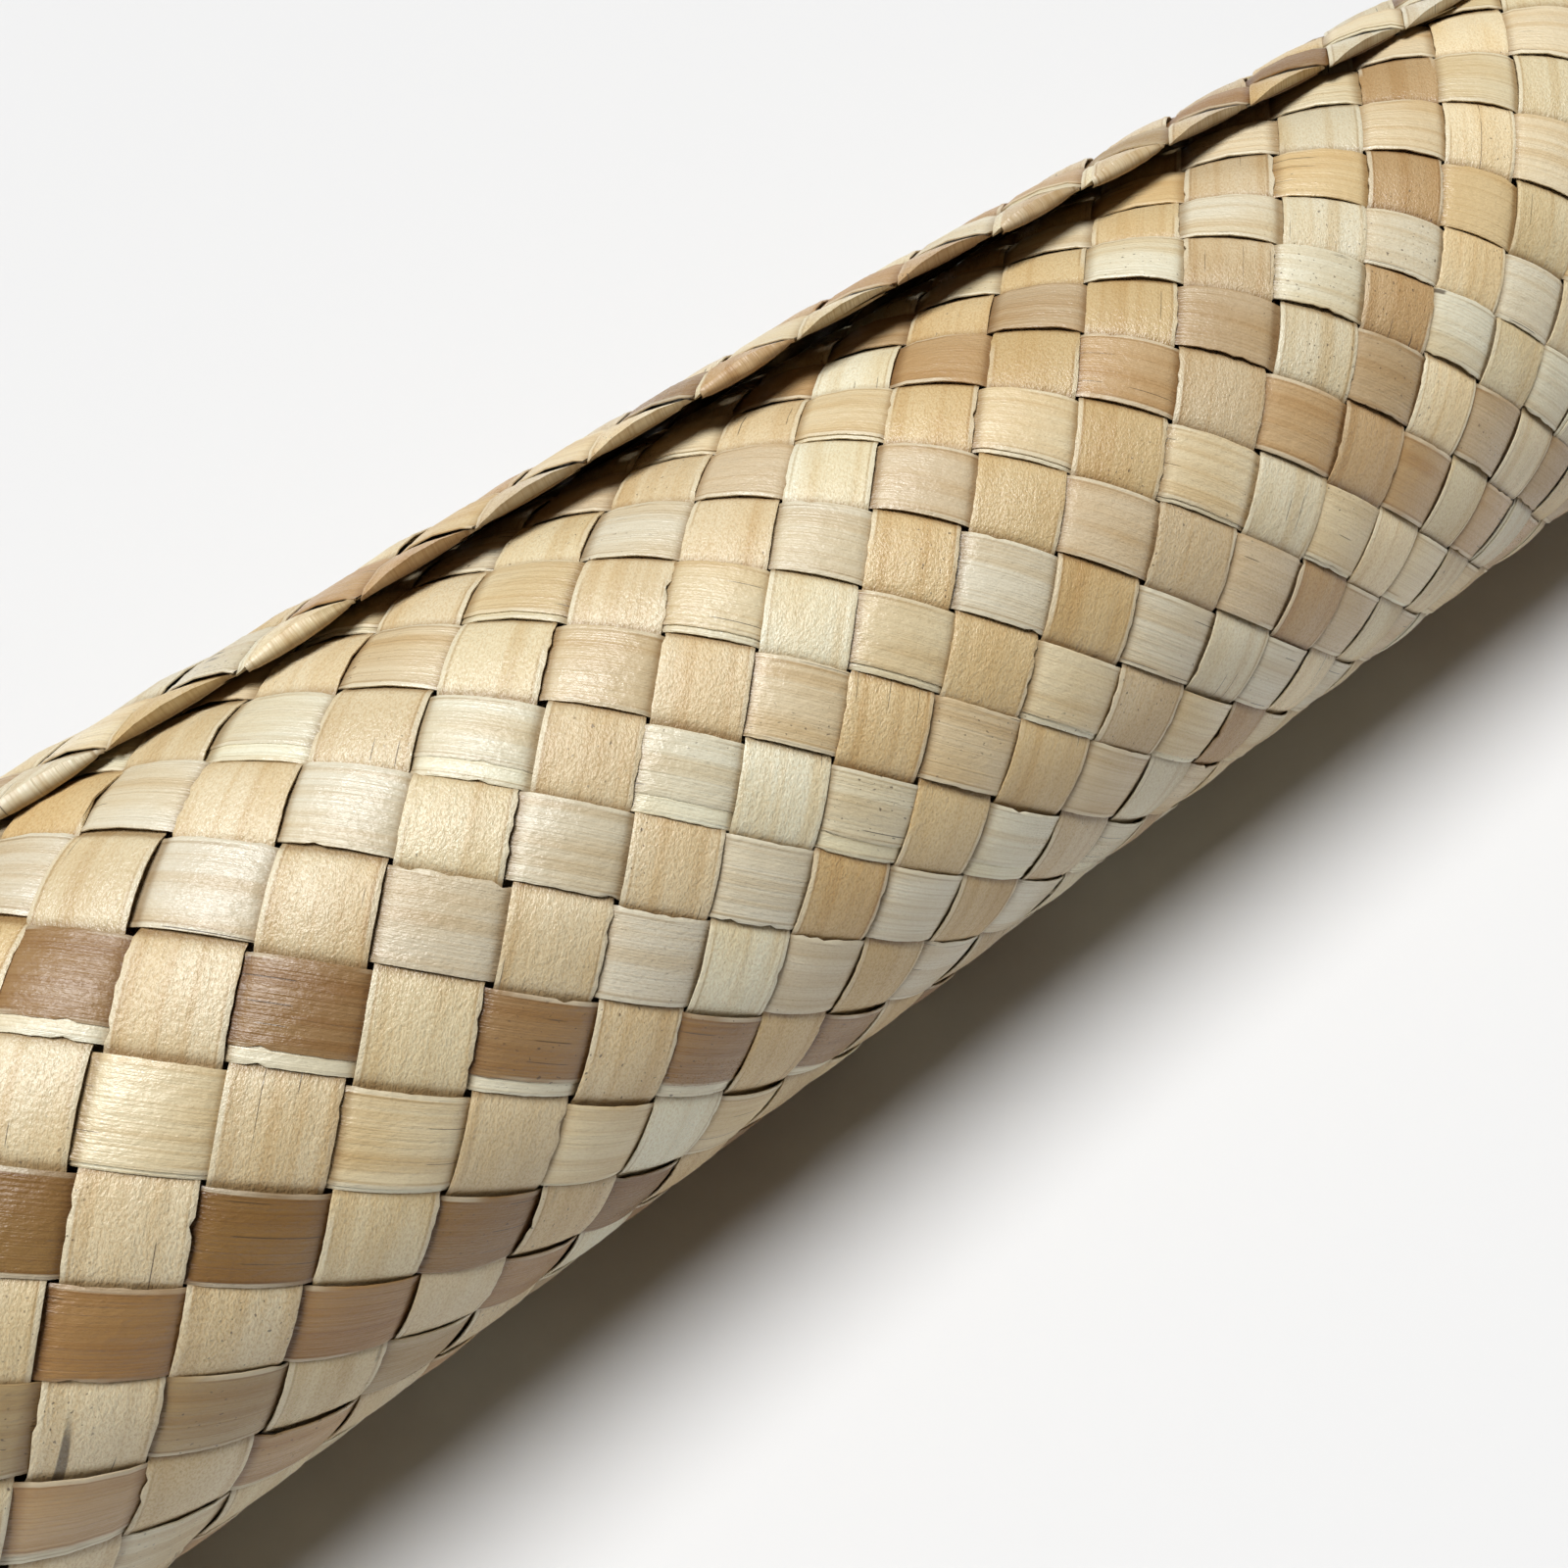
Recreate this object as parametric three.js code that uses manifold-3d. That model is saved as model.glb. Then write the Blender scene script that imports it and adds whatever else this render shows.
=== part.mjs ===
// A woven leaf mat rolled up and lying on its side, with its loose outer end sprung open a little.
// Millimetres, +Z up, +X along the roll. The origin is the middle of the underside.
import * as THREE from 'three';
import { mergeVertices } from 'three/addons/utils/BufferGeometryUtils.js';
import Module from 'manifold-3d';

// The mat, as it lies flat.
const STRIP = 19;                           // pitch of the woven strips, which run at 45 degrees to the edges
const HALF_CELL = STRIP / Math.SQRT2;       // the edges fall on whole steps of this
const MAT_WIDTH = 46 * HALF_CELL;           // along the roll
const MAT_LENGTH = 180 * HALF_CELL;         // wound up
const THICK = 2.4;
const HEM_THICK = 3.2;                      // the free edge, where the strips are folded back
const HEM_DEEP = 8;

// The roll.
const EDGE_RADIUS = 75.6;                   // middle of the sheet at the free edge, when it lies closed
const TURN_PITCH = 4.4;                     // how much nearer the axis each turn lies
const EDGE_ANGLE = radians(22.1);           // free edge, measured from straight up towards +Y
const FLAT_WIDTH = 26;                      // flat spot the roll rests on

// The loose outer end: pressed down near both ends of the roll, sprung open between them.
const LOOSE_ANGLE = radians(60);            // how far back from the free edge the gap reaches
const LIFT_CLOSED = -1.5;
const LIFT_OPEN = 4.2;
const LIFT_MIDDLE = 34;                     // X of the widest gap
const LIFT_REACH = 225;                     // from there to where the gap has closed

// At both ends of the roll the turns part, so that the winding shows.
const GROOVE_DEEP = 12;
const GROOVE_CLEAR = 0.05;

const STEP = radians(10);                   // turn of one facet
const STATIONS = [-1, -0.6, -0.4, -0.2, 0, 0.15, 0.3, 0.5, 0.7, 0.9, 1];     // share of half the width

function radians(degrees) { return degrees * Math.PI / 180; }

// Turn, in radians from the free edge, at which the sheet's length is used up.
const FULL = 2 * Math.PI;
const LOSS = TURN_PITCH / FULL;
const INNER_TURN = (EDGE_RADIUS - Math.sqrt(EDGE_RADIUS ** 2 - 2 * LOSS * MAT_LENGTH)) / LOSS;

// How far the sheet stands off its plain winding, at a turn from the free edge.
function lift(turn, x) {
  const along = Math.min(1, Math.abs(x - LIFT_MIDDLE) / LIFT_REACH);
  const opening = LIFT_CLOSED + (LIFT_OPEN - LIFT_CLOSED) * Math.cos(along * Math.PI / 2) ** 2;
  return opening * Math.max(0, 1 - turn / LOOSE_ANGLE) ** 2;
}

function middleRadius(turn, x) {
  return EDGE_RADIUS - LOSS * turn + lift(turn, x);
}

function halfThickness(turn) {
  const past = Math.min(1, turn * EDGE_RADIUS / HEM_DEEP);
  return (HEM_THICK + (THICK - HEM_THICK) * past) / 2;
}

// The flat spot: below the axis the outer face is cut to one level.
const BELOW = Math.PI - EDGE_ANGLE;         // turn that faces straight down
const FLAT_ANGLE = Math.asin(FLAT_WIDTH / 2 / (middleRadius(BELOW, 0) + THICK / 2));

const AXIS_HEIGHT = (middleRadius(BELOW, 0) + THICK / 2) * Math.cos(FLAT_ANGLE);

function outerRadius(turn, x) {
  const off = turn - BELOW;
  if (Math.abs(off) < FLAT_ANGLE + 1e-6) return AXIS_HEIGHT / Math.cos(off);
  return middleRadius(turn, x) + halfThickness(turn);
}

function innerRadius(turn, x) {
  return middleRadius(turn, x) - halfThickness(turn);
}

function place(turn, radius) {
  const angle = EDGE_ANGLE + turn;
  return new THREE.Vector2(radius * Math.sin(angle), AXIS_HEIGHT + radius * Math.cos(angle));
}

// Turns from one to another in even steps, with the edges of the flat spot among them.
function turns(from, to) {
  const count = Math.max(1, Math.round(Math.abs(to - from) / STEP));
  const list = Array.from({ length: count + 1 }, (_, i) => from + (to - from) * i / count);
  const corners = [BELOW - FLAT_ANGLE, BELOW + FLAT_ANGLE].filter((t) => t > from && t < to);
  const apart = (t) => corners.every((c) => Math.abs(t - c) > STEP / 3);
  return [...list.filter(apart), ...corners].sort((a, b) => a - b);
}

// Outline of the wound form: once round, on under the loose end, and back along its inner face.
function outline(x) {
  const outer = turns(0, FULL + LOOSE_ANGLE).map((t) => place(t, outerRadius(t, x)));
  const under = turns(0, LOOSE_ANGLE).reverse().map((t) => place(t, innerRadius(t, x)));
  const tip = place(-HEM_THICK / 2 / EDGE_RADIUS, middleRadius(0, x));
  return [...outer, ...under, tip].reverse();
}

// Outline of the hollow: the innermost turn, with a step at the mat's inner end.
function hollow(x) {
  return turns(INNER_TURN - FULL, INNER_TURN).map((t) => place(t, innerRadius(t, x)));
}

// Outline of the space between the turns.
function groove(x) {
  const list = turns(LOOSE_ANGLE - 0.03, INNER_TURN - FULL + 0.03);
  const wall = list.map((t) => place(t, innerRadius(t, x) - GROOVE_CLEAR));
  const back = list.map((t) => place(t + FULL, outerRadius(t + FULL, x) + GROOVE_CLEAR));
  return [...wall.reverse(), ...back];
}

// Solid through the same loops drawn at each X: the first loop is the outside, any others are holes.
function loft(xs, loopsAt) {
  const sections = xs.map(loopsAt);
  const corners = [];
  const faces = [];
  const counts = sections[0].map((loop) => loop.length);
  const total = counts.reduce((a, b) => a + b, 0);
  sections.forEach((loops, k) => loops.flat().forEach((p) => corners.push(xs[k], p.x, p.y)));
  for (let k = 0; k + 1 < xs.length; k++) {
    let first = k * total;
    for (const count of counts) {
      for (let i = 0; i < count; i++) {
        const a = first + i;
        const b = first + (i + 1) % count;
        faces.push(a, b, b + total, a, b + total, a + total);
      }
      first += count;
    }
  }
  const last = (xs.length - 1) * total;
  const caps = (loops) => THREE.ShapeUtils.triangulateShape(loops[0], loops.slice(1));
  for (const [a, b, c] of caps(sections[0])) faces.push(a, c, b);
  for (const [a, b, c] of caps(sections.at(-1))) faces.push(last + a, last + b, last + c);
  const geometry = new THREE.BufferGeometry();
  geometry.setAttribute('position', new THREE.Float32BufferAttribute(corners, 3));
  geometry.setIndex(faces);
  return geometry;
}

const wasm = await Module();
wasm.setup();

function toSolid(geometry) {
  const merged = mergeVertices(geometry, 1e-4);
  return new wasm.Manifold(new wasm.Mesh({
    numProp: 3,
    vertProperties: new Float32Array(merged.attributes.position.array),
    triVerts: new Uint32Array(merged.index.array),
  }));
}

function toGeometry(solid) {
  const mesh = solid.getMesh();
  const geometry = new THREE.BufferGeometry();
  geometry.setAttribute('position', new THREE.Float32BufferAttribute(mesh.vertProperties, 3));
  geometry.setIndex(Array.from(mesh.triVerts));
  return geometry;
}

const END = MAT_WIDTH / 2;
const wound = loft(STATIONS.map((share) => share * END), (x) => [outline(x), hollow(x)]);
const nearGroove = loft([-END - 2, -END + GROOVE_DEEP], (x) => [groove(x)]);
const farGroove = loft([END - GROOVE_DEEP, END + 2], (x) => [groove(x)]);
const roll = toGeometry(toSolid(wound).subtract(toSolid(nearGroove)).subtract(toSolid(farGroove)));

// The underside stays at Z = 0 and the loose end's bulge is shared between the two sides.
roll.computeBoundingBox();
roll.translate(0, -(roll.boundingBox.min.y + roll.boundingBox.max.y) / 2, 0);
roll.computeVertexNormals();

const leaf = new THREE.MeshStandardMaterial({ color: 0xc9ae82, roughness: 0.62, metalness: 0 });
const mat = new THREE.Mesh(roll, leaf);
mat.name = 'mat_roll';

const object = new THREE.Group();
object.add(mat);

export default object;
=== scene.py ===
"""Looks of a rolled mat woven from flat pandanus leaf strips.

The mat is drawn flat first, in millimetres: x along the roll, s from the free edge towards the inner end,
z out of the sheet. Strips run at 45 degrees to the edges, over one and under one, and are folded back at
every edge. wind() then rolls the flat mat up.
"""
import math
import bpy
import numpy as np
from mathutils import Matrix, Vector


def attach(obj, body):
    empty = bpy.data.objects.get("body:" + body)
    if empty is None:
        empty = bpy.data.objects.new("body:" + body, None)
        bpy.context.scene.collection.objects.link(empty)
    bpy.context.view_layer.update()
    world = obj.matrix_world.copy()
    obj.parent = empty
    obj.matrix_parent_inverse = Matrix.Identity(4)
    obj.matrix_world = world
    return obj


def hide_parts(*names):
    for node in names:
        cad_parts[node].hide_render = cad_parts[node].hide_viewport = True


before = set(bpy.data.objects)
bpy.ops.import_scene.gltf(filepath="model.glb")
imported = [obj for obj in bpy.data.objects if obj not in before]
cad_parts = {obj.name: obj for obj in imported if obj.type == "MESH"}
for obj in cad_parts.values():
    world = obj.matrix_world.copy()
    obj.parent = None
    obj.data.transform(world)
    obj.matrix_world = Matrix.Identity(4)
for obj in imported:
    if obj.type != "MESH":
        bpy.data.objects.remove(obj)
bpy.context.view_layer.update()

MM = 0.001
ROOT2 = math.sqrt(2)
FULL_TURN = 2 * math.pi

# The mat and the roll, as in the solid.
STRIP = 19.0                           # pitch of the strips
HALF_CELL = STRIP / ROOT2
HALF_WIDTH = 23 * HALF_CELL
LENGTH = 180 * HALF_CELL
THICK = 2.4
EDGE_RADIUS = 75.6                     # middle of the sheet at the free edge, when it lies closed
TURN_PITCH = 4.4                       # how much nearer the axis each turn lies
LOSS = TURN_PITCH / FULL_TURN
EDGE_ANGLE = math.radians(22.1)        # free edge, from straight up towards +Y
LOOSE_ANGLE = math.radians(60)         # how far back from the free edge the gap reaches
LIFT_CLOSED, LIFT_OPEN = -1.5, 4.2
LIFT_MIDDLE, LIFT_REACH = 34.0, 225.0  # x of the widest gap, and from there to where it has closed
FLAT_WIDTH = 26.0                      # flat spot the roll rests on
BELOW = math.pi - EDGE_ANGLE           # turn that faces straight down
BELOW_RADIUS = EDGE_RADIUS - LOSS * BELOW + THICK / 2
AXIS_HEIGHT = BELOW_RADIUS * math.cos(math.asin(FLAT_WIDTH / 2 / BELOW_RADIUS))
AXIS_Y = -1.1

# What the roll does beyond the solid.
FLAT_REACH = 0.6                       # angle to each side within which the flat spot presses the turns in
EDGE_SKEW = 0.00034                    # how far the free edge turns back, in radians for each mm to the left
SKEW_FADES = 2.2                       # turn over which that is lost
SINK, SINK_REACH = 2.2, 0.65           # how far the turn under the loose end sinks, and its angle each way
FLOOR_CLEAR = 0.02                     # least height over the floor

# The strips.
COVER = 0.945                          # width of a strip as a share of its room
WAVE = 1.18                            # how far a strip's middle rises and sinks
WAVE_POWER = 0.6                       # below 1 the strip lies flat on its neighbour and dives steeply
LEAF, LEAF_EDGE = 0.42, 0.26           # thickness in the middle of a strip and at its sides
CROWN = 0.38                           # how much higher the middle of a strip stands than its sides
MARGIN, MARGIN_AT = 0.15, 0.93         # height of the folded margin along each side, and where it is
HEM_SWELL, HEM_DEEP = 0.3, 14.0        # how much more a strip rises in the hem, and how deep the hem is
TOOTH = 0.9                            # how far one corner of each fold stands out of the free edge
EVEN_WITHIN = 4 * STRIP                # near an edge of the mat the strips lie evenly
PAST_EDGE = 0.62 * STRIP               # rows this far past an edge are still drawn back to it

# How the strips vary.
SHIFT_SPREAD = 0.45                    # of a strip's place, where it is not seen
SHIFT_FADES = 7                        # strips over which the last seen strip's shift is lost
UNDER_SHARE, UNDER_ROOM = 0.18, (0.8, 2.4)   # how many show their under leaf, and how much of it
WANDER_LENGTH = 90.0                   # of a slow wave, for a rate of 1, in mm for each radian
WANDER, WANDER_RATES = 0.16, (0.9, 1.7, 3.1)   # sideways
TILT, TILT_RATES = 0.05, (1.3, 2.9)    # one side up, the other down
WORN = [0.4, 0.8, 1.3, 2.4]            # how worn a side can be
WORN_UNDER = 0.4                       # share of that where the strip shows its under leaf
RAGGED = 0.055                         # of a side, row by row
BITE_SHARE, BITE = 0.025, (0.2, 0.7)   # how many rows have a bite out of a side, and how deep it is
HUE_SPREAD, LIGHT_SPREAD = 0.006, 0.035   # of a strip's tone: each colour by itself, and all together
PEBBLED = {0: (0.7, 1.0), 1: (0.0, 0.45)}    # how grainy a strip's face is, for each direction
TOP_LEAF_UP, UNDER_LEAF_UP = 0.3, -0.2  # where a strip shows its under leaf
UNDER_SPAN = (-1.0, 0.6)               # the under leaf from side to side, where the whole strip is -1 to 1

# Where the mesh is fine.
FINE_UNTIL = 505.0                     # s where the outer turn has gone out of sight under the loose end
FINE_OVERLAP, COARSE_OVERLAP = 3.0, 20.0   # how far each mesh goes on past that
FRONT_X, FRONT_S = (-215.0, 240.0), (165.0, 445.0)   # what is seen close by
ROLL_END = 1.6 * STRIP                 # the inner turns are seen at the roll's ends
INNERMOST = 330.0                      # length of the turn that is seen inside the hollow
FRONT_ROWS = np.arange(11) / 11        # shares of the way from one crossing to the next
FINE_ROWS = np.array([0, 0.35, 0.5, 0.65])
COARSE_ROWS = np.array([0])
FINE_RING = np.array([-1, -MARGIN_AT, -0.84, -0.45, 0, 0.45, 0.84, MARGIN_AT, 1])   # from side to side
COARSE_RING = np.array([-1.0, 1.0])
FOLD_STEPS = np.radians([45, 90, 135, 180])   # round the mat's edge
FOLD_LEAST = 0.22                      # least radius of a fold
SHARP = math.radians(48)               # edges sharper than this are not smoothed

# Leaf tones: red, green and blue as seen on screen.
TONES = {
    "straw": (0.92, 0.86, 0.72), "gold": (0.87, 0.78, 0.60), "tan": (0.80, 0.68, 0.51),
    "brown": (0.60, 0.465, 0.28), "rose": (0.79, 0.70, 0.57), "grey": (0.90, 0.87, 0.775),
    "ash": (0.74, 0.65, 0.50), "cream": (0.94, 0.92, 0.82), "pink": (0.64, 0.515, 0.355),
    "blush": (0.86, 0.79, 0.66), "amber": (0.66, 0.515, 0.33),
}
# Strips that rise to the right, from left to right in front: tone and room taken.
RISING_FIRST, RISING_START = -21, -402.7
RISING = [
    ("straw", 19), ("straw", 19.5), ("straw", 20.5), ("straw", 19.5), ("straw", 18), ("cream", 18.5),
    ("gold", 19.5), ("gold", 20), ("gold", 21.5), ("blush", 22), ("grey", 21.5), ("tan", 18), ("straw", 20),
]
# Strips that fall to the right, from the bottom up in front: tone, room taken, and how much of the pale
# under leaf shows along the lower edge.
FALLING_FIRST, FALLING_START = 5, 100.2
FALLING = [
    ("ash", 18, 0), ("amber", 17.5, 0), ("brown", 18.5, 0), ("straw", 20.5, 0.9), ("pink", 21, 3.0),
    ("grey", 19, 0), ("grey", 16.5, 0), ("grey", 18.5, 3.6), ("blush", 18.5, 0), ("straw", 16.5, 1.4),
    ("grey", 18.5, 0), ("blush", 17.5, 0), ("straw", 18, 0.8), ("tan", 18.5, 0), ("rose", 18, 0),
    ("cream", 15.5, 0), ("grey", 15, 0), ("gold", 18.5, 0),
]
# Tones of the strips that are not seen in front, each as often as it is likely.
OTHER_TONES = (["straw"] * 5 + ["gold"] * 4 + ["tan"] * 2 + ["grey"] * 3 + ["blush"] * 2
               + ["rose", "cream", "brown"])
UNDER_TONE = "cream"


def smooth(x):
    x = np.clip(x, 0, 1)
    return x * x * (3 - 2 * x)


def wind(x, s, z):
    """Points of the flat mat, rolled up, in metres."""
    turn = (EDGE_RADIUS - np.sqrt(EDGE_RADIUS ** 2 - 2 * LOSS * s)) / LOSS
    along = np.minimum(1, np.abs(x - LIFT_MIDDLE) / LIFT_REACH)
    bulge = np.cos(along * math.pi / 2) ** 2
    opening = LIFT_CLOSED + (LIFT_OPEN - LIFT_CLOSED) * bulge
    lift = opening * np.maximum(0, 1 - np.maximum(turn, 0) / LOOSE_ANGLE) ** 2
    # the flat spot presses each turn half as far in as the turn outside it
    times = np.floor((turn - BELOW) / FULL_TURN + 0.5)
    off = np.clip(turn - BELOW - FULL_TURN * times, -FLAT_REACH, FLAT_REACH)
    press = np.maximum(0, BELOW_RADIUS - AXIS_HEIGHT / np.cos(off)) * 0.5 ** times
    # so does the loose end with the turns under it
    inward = np.floor(turn / FULL_TURN + 0.5)
    beside = np.abs(turn - FULL_TURN * inward) / SINK_REACH
    sink = SINK * bulge * (1 - smooth(beside)) * np.where(inward > 0, 0.5 ** (inward - 1), 0)
    radius = EDGE_RADIUS - LOSS * turn + lift - press - sink + z
    angle = EDGE_ANGLE + turn - EDGE_SKEW * (x - LIFT_MIDDLE) * (1 - smooth(turn / SKEW_FADES))
    up = np.maximum(AXIS_HEIGHT + radius * np.cos(angle), FLOOR_CLEAR)
    return np.stack([x, AXIS_Y + radius * np.sin(angle), up], -1) * MM


class Family:
    """All the strips of one direction. across is 0 for those with constant x - s, 1 for constant x + s."""

    def __init__(self, name, across, first, start, seen, seed):
        self.name, self.across = name, across
        rng = np.random.default_rng(seed)
        reach = int((HALF_WIDTH + LENGTH) / ROOT2 / STRIP) + 3
        side = int(HALF_WIDTH / ROOT2 / STRIP) + 3
        self.low, self.high = (-reach, side) if across == 0 else (-side, reach)
        count = self.high - self.low + 1
        self.shift = rng.normal(0, SHIFT_SPREAD, count)
        self.tone = list(rng.choice(OTHER_TONES, count))
        self.under = np.where(rng.random(count) < UNDER_SHARE, rng.uniform(*UNDER_ROOM, count), 0.0)
        room = np.array([row[1] for row in seen], float)
        places = start + np.concatenate([[0], np.cumsum((room[1:] + room[:-1]) / 2)])
        at = first - self.low
        end = at + len(seen) - 1
        self.shift[at:end + 1] = places - STRIP * np.arange(first, first + len(seen))
        for k, row in enumerate(seen):
            self.tone[at + k] = row[0]
            self.under[at + k] = row[2] if len(row) > 2 else 0.0
        for k in range(1, SHIFT_FADES):
            ease = 1 - smooth(k / SHIFT_FADES)
            self.shift[at - k] += self.shift[at] * ease
            self.shift[end + k] += self.shift[end] * ease
        self.room = STRIP + np.gradient(self.shift)


def flat(across, along, place):
    """x and s from a place along a strip and a place across it."""
    a, b = (place, along) if across == 0 else (along, place)
    return (a + b) / ROOT2, (b - a) / ROOT2


def unevenness(x, s):
    """1 well inside the mat, where the strips lie unevenly, 0 at its edges, where the folds set them."""
    inside = np.minimum(np.minimum(HALF_WIDTH - np.abs(x), s), LENGTH - s)
    return smooth(inside / EVEN_WITHIN)


def limits(across, place):
    """Where a line along a strip meets the mat's edges."""
    side = ROOT2 * HALF_WIDTH
    if across == 0:
        return np.maximum(place, -side - place), np.minimum(place + ROOT2 * LENGTH, side - place)
    return np.maximum(place - ROOT2 * LENGTH, -side - place), np.minimum(place, side - place)


def crossings(family, other, index, low, high):
    """Places where other strips cross a strip, and 1 where it lies on top there, -1 where it lies below."""
    first = max(other.low, int(math.floor(low / STRIP)) - 2)
    last = min(other.high, int(math.ceil(high / STRIP)) + 2)
    numbers = np.arange(first, last + 1)
    x, s = flat(family.across, numbers * STRIP, index * STRIP)
    centres = numbers * STRIP + other.shift[numbers - other.low] * unevenness(x, s)
    return centres, np.where((numbers + index) % 2 == family.across, 1.0, -1.0)


def wave_at(along, centres, signs):
    """Height of a strip, from -1 to 1, between the crossings."""
    k = np.clip(np.searchsorted(centres, along) - 1, 0, len(centres) - 2)
    t = (along - centres[k]) / (centres[k + 1] - centres[k])
    c = np.cos(math.pi * np.clip(t, 0, 1))
    return signs[k] * np.sign(c) * np.abs(c) ** WAVE_POWER


def rows_between(across, even, centres, fine):
    """Places along a strip: close together in front, fewer on the rest of the outer turn, one a crossing
    on the inner turns, apart from their ends and the hollow."""
    rows = []
    for here, there in zip(centres[:-1], centres[1:]):
        x, s = flat(across, (here + there) / 2, even)
        front = FRONT_X[0] < x < FRONT_X[1] and FRONT_S[0] < s < FRONT_S[1]
        seen = fine or abs(x) > HALF_WIDTH - ROLL_END or s > LENGTH - INNERMOST
        shares = FRONT_ROWS if fine and front else FINE_ROWS if seen else COARSE_ROWS
        rows.append(here + shares * (there - here))
    return np.concatenate(rows + [centres[-1:]])


class Pile:
    """Ribbons gathered into one mesh."""

    def __init__(self):
        self.points, self.faces, self.uv, self.tint, self.leaf = [], [], [], [], []
        self.count = 0

    def ribbon(self, x, s, z, uv, rim, height, tint, pebbled, flip):
        """Add a tube whose rows run along a strip. Each row goes once round it."""
        rows, ring = x.shape
        self.points.append(wind(x, s, z).reshape(-1, 3))
        self.uv.append(uv.reshape(-1, 2))
        self.tint.append(np.broadcast_to(np.array(tint + (1.0,)), (rows * ring, 4)))
        leaf = [rim, 0.5 + 0.5 * height, np.full_like(rim, pebbled), np.ones_like(rim)]
        self.leaf.append(np.stack(leaf, -1).reshape(-1, 4))
        at = self.count + np.arange(rows * ring).reshape(rows, ring)
        beside = np.roll(at, -1, axis=1)
        quads = np.stack([at[:-1], at[1:], beside[1:], beside[:-1]], -1).reshape(-1, 4)
        ends = [at[0], at[-1][::-1]]
        if flip:
            quads = quads[:, ::-1]
            ends = [end[::-1] for end in ends]
        self.faces.extend(quads.tolist())
        self.faces.extend(end.tolist() for end in ends)
        self.count += rows * ring

    def build(self, name, material):
        mesh = bpy.data.meshes.new(name)
        mesh.from_pydata(np.concatenate(self.points).tolist(), [], self.faces)
        uv = np.concatenate(self.uv)
        corner = np.empty(len(mesh.loops), np.int32)
        mesh.loops.foreach_get("vertex_index", corner)
        mesh.uv_layers.new(name="along").data.foreach_set("uv", uv[corner].astype(np.float32).ravel())
        for label, data in (("tint", self.tint), ("leaf", self.leaf)):
            layer = mesh.color_attributes.new(label, "FLOAT_COLOR", "POINT")
            layer.data.foreach_set("color", np.concatenate(data).astype(np.float32).ravel())
        mesh.polygons.foreach_set("use_smooth", np.ones(len(mesh.polygons), bool))
        mesh.set_sharp_from_angle(angle=SHARP)
        mesh.materials.append(material)
        piece = bpy.data.objects.new(name, mesh)
        bpy.context.scene.collection.objects.link(piece)
        return piece


def linear(rgb):
    """Linear colour from a colour as seen on screen."""
    return tuple(c / 12.92 if c <= 0.04045 else ((c + 0.055) / 1.055) ** 2.4 for c in rgb)


def slow_wave(rng, t, spread, rates):
    return sum(rng.normal(0, spread) * np.sin(rate * t + rng.uniform(0, 6)) for rate in rates)


def ragged_sides(rng, count, fine, wear):
    """How far each side of a strip stands out, row by row, with a bite out of it here and there."""
    worn = rng.choice(WORN, 2) * wear
    ragged = rng.normal(0, RAGGED if fine else 0.0, (count, 2)) * worn
    bites = rng.random((count, 2)) < BITE_SHARE * worn
    return ragged - bites * rng.uniform(*BITE, (count, 2))


def fold(x, s, uv, rim, height, wave, across_fold):
    """Rows that take a strip's last row round the mat's edge to the other face."""
    top, thick, crown = across_fold
    if abs(np.mean(np.abs(x)) - HALF_WIDTH) < 1.0:
        out_x, out_s = math.copysign(1, np.mean(x)), 0.0
    else:
        out_x, out_s = 0.0, (-1.0 if np.mean(s) < LENGTH / 2 else 1.0)
    radius = np.maximum(np.abs(wave), FOLD_LEAST) + np.where(top, thick / 2, -thick / 2)
    rows = []
    for angle in FOLD_STEPS:
        z = radius * math.cos(angle) + np.where(top, crown * abs(math.cos(angle)), 0)
        rows.append((x + out_x * radius * math.sin(angle), s + out_s * radius * math.sin(angle), z, uv, rim,
                     height * math.cos(angle)))
    return tuple(np.stack(column) for column in zip(*rows))


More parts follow.
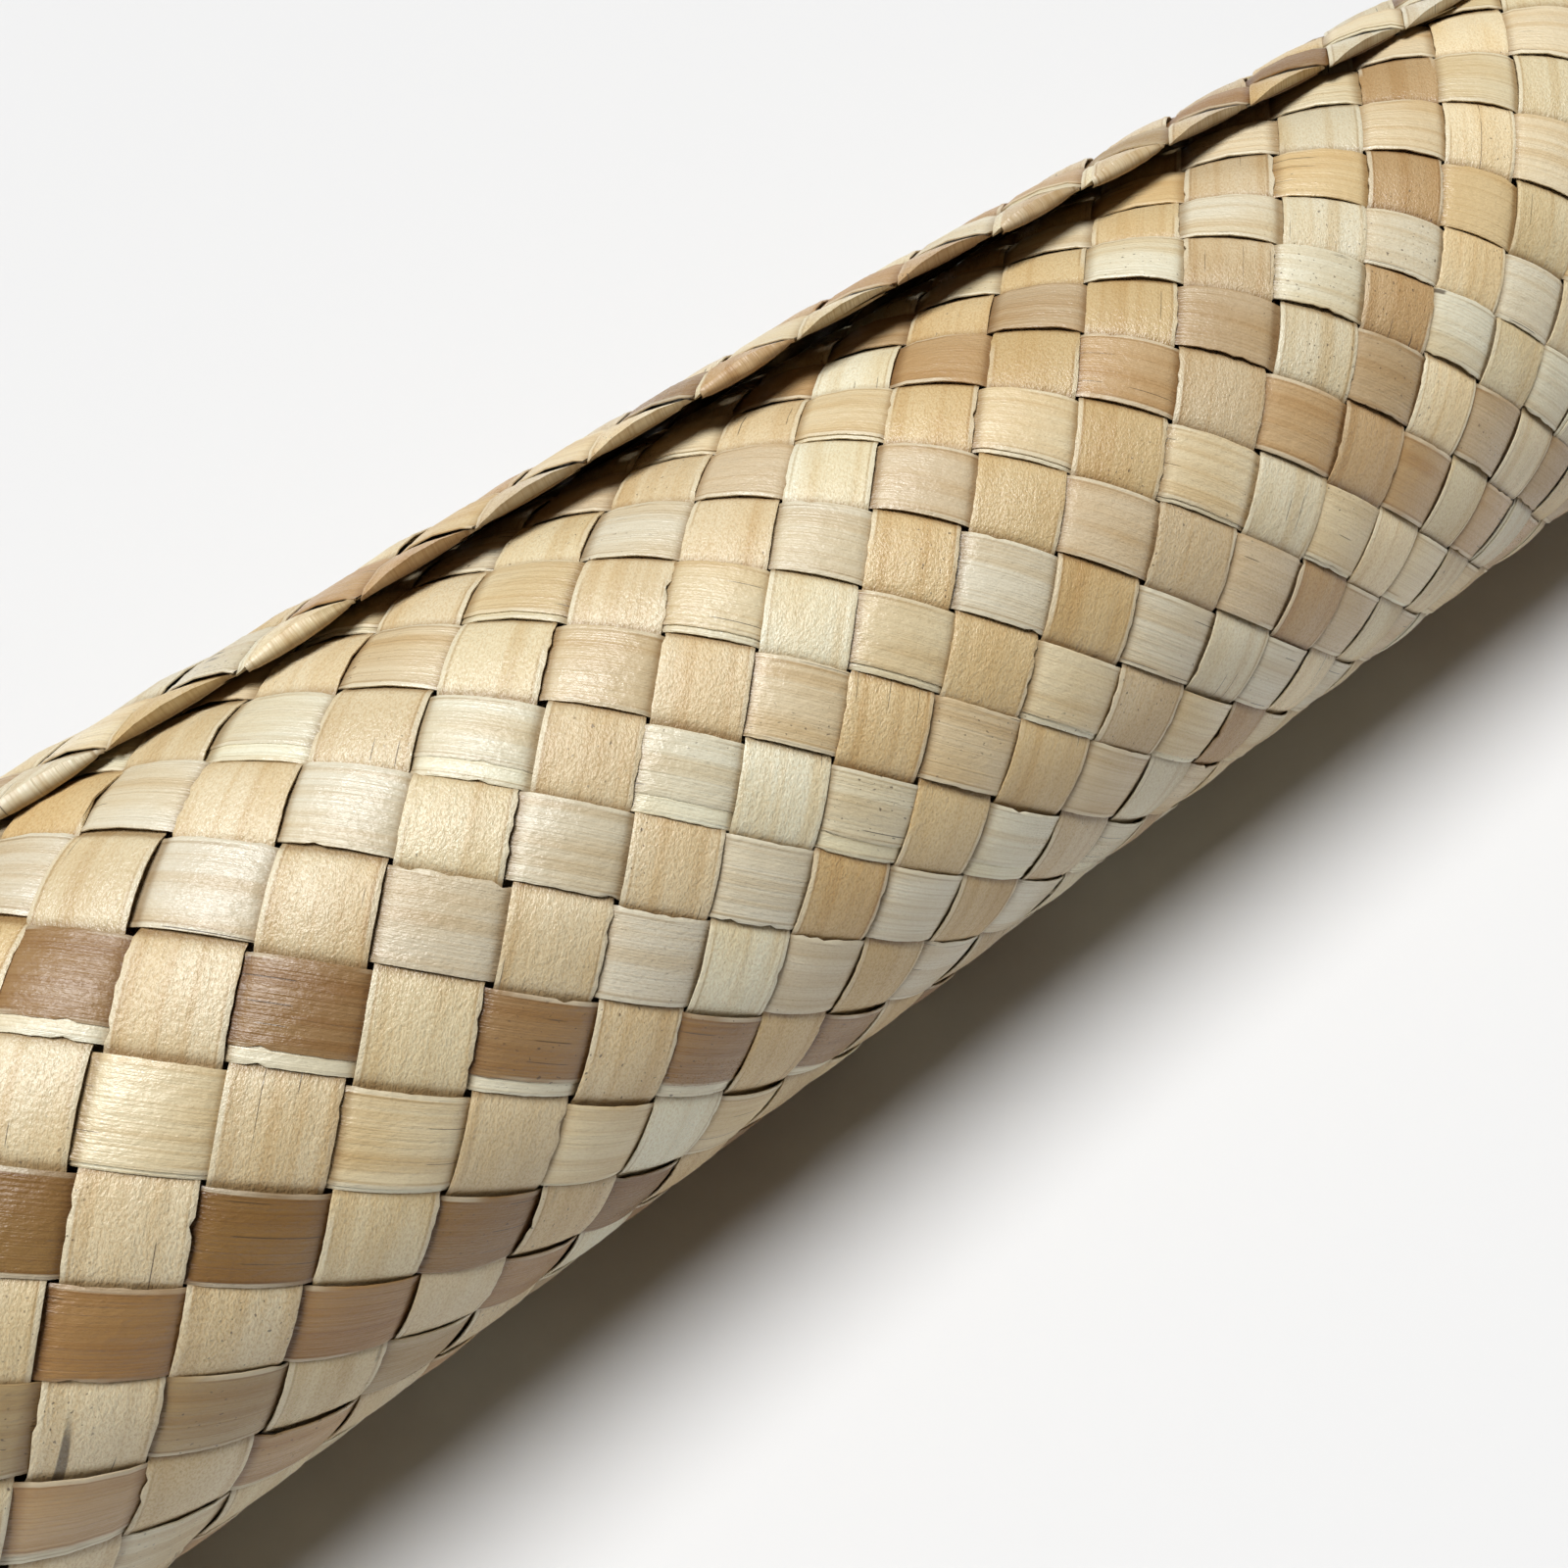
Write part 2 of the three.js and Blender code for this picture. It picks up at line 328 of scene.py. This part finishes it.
def lay_strip(pile, family, other, index, fine, span=(-1.0, 1.0), raise_by=0.0, tone=None):
    """One strip from edge to edge of the mat, where the mesh is fine or where it is coarse."""
    across, k = family.across, index - family.low
    even = index * STRIP
    low, high = limits(across, even)
    if high - low < 2:
        return
    centres, signs = crossings(family, other, index, low, high)
    rows = rows_between(across, even, centres, fine)
    rows = rows[(rows > low - PAST_EDGE) & (rows < high + PAST_EDGE)]
    rx, rs = flat(across, rows, even)
    keep = rs < FINE_UNTIL + FINE_OVERLAP if fine else rs > FINE_UNTIL - COARSE_OVERLAP
    rows, rx, rs = rows[keep], rx[keep], rs[keep]
    if len(rows) < 2:
        return
    # the strip from side to side: its top face, then back along its lower face
    ease = unevenness(rx, rs)
    half = 0.5 * COVER * (STRIP + (family.room[k] - STRIP) * ease)
    rng = np.random.default_rng(1000 * (across + 1) + k)
    t = rows / WANDER_LENGTH
    wander = slow_wave(rng, t, WANDER, WANDER_RATES)
    ragged = ragged_sides(rng, len(rows), fine, WORN_UNDER if raise_by else 1.0)
    tilt = slow_wave(rng, t, TILT, TILT_RATES)
    face = FINE_RING if fine else COARSE_RING
    ring = np.concatenate([face, face[[-1, 0]]])
    top = np.arange(len(ring)) < len(face)
    q = half[:, None] * (span[0] + (span[1] - span[0]) * (ring + 1) / 2)
    q = q + (ring == 1) * ragged[:, :1] - (ring == -1) * ragged[:, 1:]
    place = (even + family.shift[k] * ease + wander)[:, None] + q
    lo, hi = limits(across, place)
    if across == 0:
        lo = lo + 2 * TOOTH * (place - even) / HALF_CELL
    else:
        hi = hi - TOOTH
    along = np.clip(rows[:, None], lo, hi)
    x, s = flat(across, along, place)
    # its height
    thick = LEAF_EDGE + (LEAF - LEAF_EDGE) * (1 - ring ** 2)
    crown = CROWN * (1 - ring ** 2) + MARGIN * (np.abs(ring) == MARGIN_AT)
    height = wave_at(along, centres, signs)
    wave = WAVE * (1 + HEM_SWELL * (1 - smooth(s / HEM_DEEP))) * height
    z = wave + tilt[:, None] * ring + raise_by + np.where(top, thick / 2 + crown, -thick / 2)
    # its colour, and its place on the leaf in centimetres, far from that of every other strip
    uv = np.stack([along / 10, q / 10 + 3.71 * k + 500 * across], -1)
    rim = np.broadcast_to(0.5 + 0.5 * ring, x.shape)
    jitter = 1 + rng.normal(0, HUE_SPREAD, 3) + rng.normal(0, LIGHT_SPREAD)
    tint = tuple(float(c * f) for c, f in zip(linear(TONES[tone or family.tone[k]]), jitter))
    # the folds round the mat's edges, where the strip lies on top
    parts = [(x, s, z, uv, rim, height)]
    for row, bound in ((0, lo), (-1, hi)):
        if not np.allclose(along[row], bound[row], atol=1e-6) or np.mean(height[row]) <= 0:
            continue
        bend = fold(x[row], s[row], uv[row], rim[row], height[row], wave[row], (top, thick, crown))
        parts = [tuple(p[::-1] for p in bend)] + parts if row == 0 else parts + [bend]
    joined = [np.concatenate(column) for column in zip(*parts)]
    pile.ribbon(*joined, tint, rng.uniform(*PEBBLED[across]), flip=across == 0)


class Nodes:
    """A short way to write a material's nodes."""

    def __init__(self, name):
        self.material = bpy.data.materials.new(name)
        self.material.use_nodes = True
        self.tree = self.material.node_tree
        self.tree.nodes.clear()

    def new(self, kind, inputs=None, **settings):
        node = self.tree.nodes.new(kind)
        for key, value in settings.items():
            setattr(node, key, value)
        for key, value in (inputs or {}).items():
            if isinstance(value, bpy.types.NodeSocket):
                self.tree.links.new(value, node.inputs[key])
            else:
                node.inputs[key].default_value = value
        return node

    def finish(self, shader):
        self.new("ShaderNodeOutputMaterial", {"Surface": shader.outputs[0]})
        return self.material

    def maths(self, operation, a, b=0.0):
        return self.new("ShaderNodeMath", {0: a, 1: b}, operation=operation).outputs[0]

    def times(self, a, b):
        return self.maths("MULTIPLY", a, b)

    def minus(self, a, b):
        return self.maths("SUBTRACT", a, b)

    def mix(self, share, a, b, blend="MIX"):
        inputs = {0: share, 6: a, 7: b + (1,)}
        return self.new("ShaderNodeMix", inputs, data_type="RGBA", blend_type=blend).outputs[2]

    def stain(self, share, a, b):
        return self.mix(share, a, b, "MULTIPLY")

    def noise(self, vector, size, detail=2.0, rough=0.5):
        """Noise with so many waves a centimetre along and across a strip; its output lies round 0.5."""
        scaled = self.new("ShaderNodeVectorMath", {0: vector, 1: size + (1,)}, operation="MULTIPLY")
        return self.new("ShaderNodeTexNoise", {"Vector": scaled.outputs[0], "Scale": 1.0, "Detail": detail,
                                               "Roughness": rough}, noise_dimensions="2D").outputs[0]

    def ramp(self, value, low, high, out_low=0.0, out_high=1.0):
        return self.new("ShaderNodeMapRange", {0: value, 1: low, 2: high, 3: out_low, 4: out_high},
                        interpolation_type="SMOOTHSTEP").outputs[0]

    def bump(self, height, strength, distance, **normal):
        inputs = {"Strength": strength, "Distance": distance, "Height": height, **normal}
        return self.new("ShaderNodeBump", inputs).outputs[0]


def leaf_material():
    """Dry leaf: lengthwise fibres, blotches, pale cut sides, a satin face."""
    n = Nodes("pandanus_leaf")
    uv = n.new("ShaderNodeUVMap", uv_map="along").outputs[0]
    tint = n.new("ShaderNodeAttribute", attribute_name="tint").outputs["Color"]
    leaf = n.new("ShaderNodeAttribute", attribute_name="leaf").outputs["Color"]
    rim, lie, pebbled = n.new("ShaderNodeSeparateColor", {0: leaf}).outputs[:3]
    lined = n.minus(1.0, pebbled)
    veins = n.noise(uv, (0.12, 22.0))
    bands = n.noise(uv, (0.05, 2.6))
    blotch = n.noise(uv, (0.16, 0.5), 3.0, 0.6)
    pebble = n.noise(uv, (13.0, 22.0), 2.0, 0.6)
    wrinkle = n.noise(uv, (3.4, 5.6), 3.0, 0.6)
    drift = n.noise(uv, (0.25, 0.06), 1.0)
    # broad stains first, then the fibres or the grain
    colour = n.stain(n.ramp(blotch, 0.40, 0.68, 0, 0.8), tint, (0.90, 0.82, 0.69))
    colour = n.stain(n.ramp(bands, 0.48, 0.72, 0, 0.6), colour, (0.84, 0.74, 0.60))
    colour = n.stain(n.ramp(drift, 0.42, 0.68, 0, 0.7), colour, (0.86, 0.81, 0.73))
    colour = n.stain(n.times(n.ramp(veins, 0.42, 0.72), n.times(lined, 0.5)), colour, (0.74, 0.64, 0.50))
    colour = n.stain(n.times(n.ramp(pebble, 0.40, 0.70), n.times(pebbled, 0.55)), colour, (0.72, 0.58, 0.40))
    # the margin along each side: a pale ridge, and painted shade in the dip beside it, broken here and there
    side = n.maths("ABSOLUTE", n.minus(n.times(rim, 2.0), 1.0))
    whole = n.ramp(n.noise(uv, (0.35, 0.2)), 0.40, 0.58)
    ridge = n.times(n.ramp(side, 0.885, 0.925), whole)
    groove_shade = n.times(n.minus(n.ramp(side, 0.83, 0.865), n.ramp(side, 0.88, 0.91)), whole)
    colour = n.stain(n.times(groove_shade, 0.5), colour, (0.55, 0.43, 0.28))
    colour = n.mix(n.times(ridge, 0.5), colour, (0.80, 0.74, 0.56))
    # painted shade, and some dust, where a strip dives under its neighbour: the lower it lies, the darker
    colour = n.stain(n.ramp(lie, 0.75, 0.40, 0, 0.8), colour, (0.42, 0.32, 0.21))
    # a few dark specks
    specks = n.times(n.ramp(n.noise(uv, (8.0, 11.0), 1.0), 0.74, 0.79),
                     n.ramp(n.noise(uv, (0.12, 0.25), 1.0), 0.56, 0.68))
    colour = n.mix(n.times(specks, 0.75), colour, (0.10, 0.065, 0.04))
    # splits along the fibres
    from_split = n.maths("ABSOLUTE", n.minus(n.noise(uv, (0.008, 1.1), 0.0), 0.5))
    splits = n.times(n.ramp(from_split, 0.009, 0.003), n.ramp(n.noise(uv, (0.45, 0.2), 1.0), 0.64, 0.68))
    colour = n.mix(n.times(splits, 0.8), colour, (0.07, 0.045, 0.025))
    # wrinkles of the whole face, and fibres or grain on them
    grain = n.minus(n.times(n.times(veins, lined), 0.9), n.times(pebble, n.times(pebbled, 0.9)))
    normal = n.bump(grain, 0.6, 0.0004, Normal=n.bump(wrinkle, 0.5, 0.0006))
    rough = n.maths("ADD", n.ramp(blotch, 0.3, 0.7, 0.27, 0.40), n.ramp(pebble, 0.4, 0.7, 0.0, 0.12))
    return n.finish(n.new("ShaderNodeBsdfPrincipled", {
        "Base Color": colour, "Roughness": rough, "Normal": normal, "Specular IOR Level": 0.65}))


leaf_face = leaf_material()
rising = Family("rising_strips", 0, RISING_FIRST, RISING_START, RISING, 11)
falling = Family("falling_strips", 1, FALLING_FIRST, FALLING_START, FALLING, 23)
pieces = []
under_leaves = Pile()
for family, other in ((rising, falling), (falling, rising)):
    pile = Pile()
    for index in range(family.low, family.high + 1):
        under = family.under[index - family.low]
        cut = 2 * under / (COVER * family.room[index - family.low])
        lay_strip(pile, family, other, index, True, (-1 + cut, 1.0), TOP_LEAF_UP if under else 0.0)
        lay_strip(pile, family, other, index, False)
        if under:
            lay_strip(under_leaves, family, other, index, True, UNDER_SPAN, UNDER_LEAF_UP, UNDER_TONE)
    pieces.append(pile.build(family.name, leaf_face))
pieces.append(under_leaves.build("under_leaves", leaf_face))
for piece in pieces:
    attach(piece, "root")
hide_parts("mat_roll")

# Floor, backdrop, light and camera.
FLOOR_SIDE, BACKDROP_RADIUS = 60, 29
FLOOR_GREY = 0.75

bpy.ops.mesh.primitive_plane_add(size=FLOOR_SIDE)
floor = bpy.context.object
floor.name = "floor"
paper = Nodes("floor_paper")
floor.data.materials.append(paper.finish(paper.new("ShaderNodeBsdfPrincipled", {
    "Base Color": (FLOOR_GREY, FLOOR_GREY, FLOOR_GREY, 1), "Roughness": 0.9})))

# The backdrop is only seen; it casts no light on the mat, so the gap under the loose end stays dark.
bpy.ops.mesh.primitive_uv_sphere_add(radius=BACKDROP_RADIUS, segments=48, ring_count=24)
backdrop = bpy.context.object
backdrop.name = "backdrop"
backdrop.visible_diffuse = backdrop.visible_glossy = backdrop.visible_shadow = False
glow = Nodes("backdrop_white")
backdrop.data.materials.append(glow.finish(glow.new("ShaderNodeEmission", {
    "Color": (1, 1, 1, 1), "Strength": 0.9})))

world = bpy.data.worlds.new("studio")
bpy.context.scene.world = world
world.use_nodes = True
world.node_tree.nodes["Background"].inputs["Color"].default_value = (1.0, 1.0, 1.0, 1)
world.node_tree.nodes["Background"].inputs["Strength"].default_value = 0.03

# One broad soft light, nearly overhead and a little behind the roll.
KEY_DIRECTION = Vector((0.10, -0.20, -1.0))
key_data = bpy.data.lights.new("key", "SUN")
key_data.energy, key_data.angle = 3.75, math.radians(34)
key = bpy.data.objects.new("key", key_data)
key.rotation_euler = KEY_DIRECTION.to_track_quat("-Z", "Y").to_euler()
bpy.context.scene.collection.objects.link(key)

# The camera looks down on the roll from its front left; the frame is off the lens's middle, as in a cropped
# photo. Focal length and shift are in pixels of a picture this wide.
PICTURE = 1600
FOCAL, SHIFT_X, SHIFT_Y = 1451.7, -196.6, 190.1
CAMERA_AT = Vector((-124.3, AXIS_Y - 192.2, AXIS_HEIGHT + 286.9))
RIGHT, UP, BACK = (0.76244, -0.64706, 0.0), (0.57833, 0.68145, 0.44850), (-0.29021, -0.34195, 0.89378)
lens = bpy.data.cameras.new("camera")
lens.sensor_width = 36
lens.lens = lens.sensor_width * FOCAL / PICTURE
lens.shift_x, lens.shift_y = SHIFT_X / PICTURE, SHIFT_Y / PICTURE
lens.clip_start = 0.01
camera = bpy.data.objects.new("camera", lens)
camera.matrix_world = Matrix.Translation(CAMERA_AT * MM) @ Matrix((RIGHT, UP, BACK)).transposed().to_4x4()
bpy.context.scene.collection.objects.link(camera)
bpy.context.scene.camera = camera
bpy.context.scene.view_settings.view_transform = "Standard"
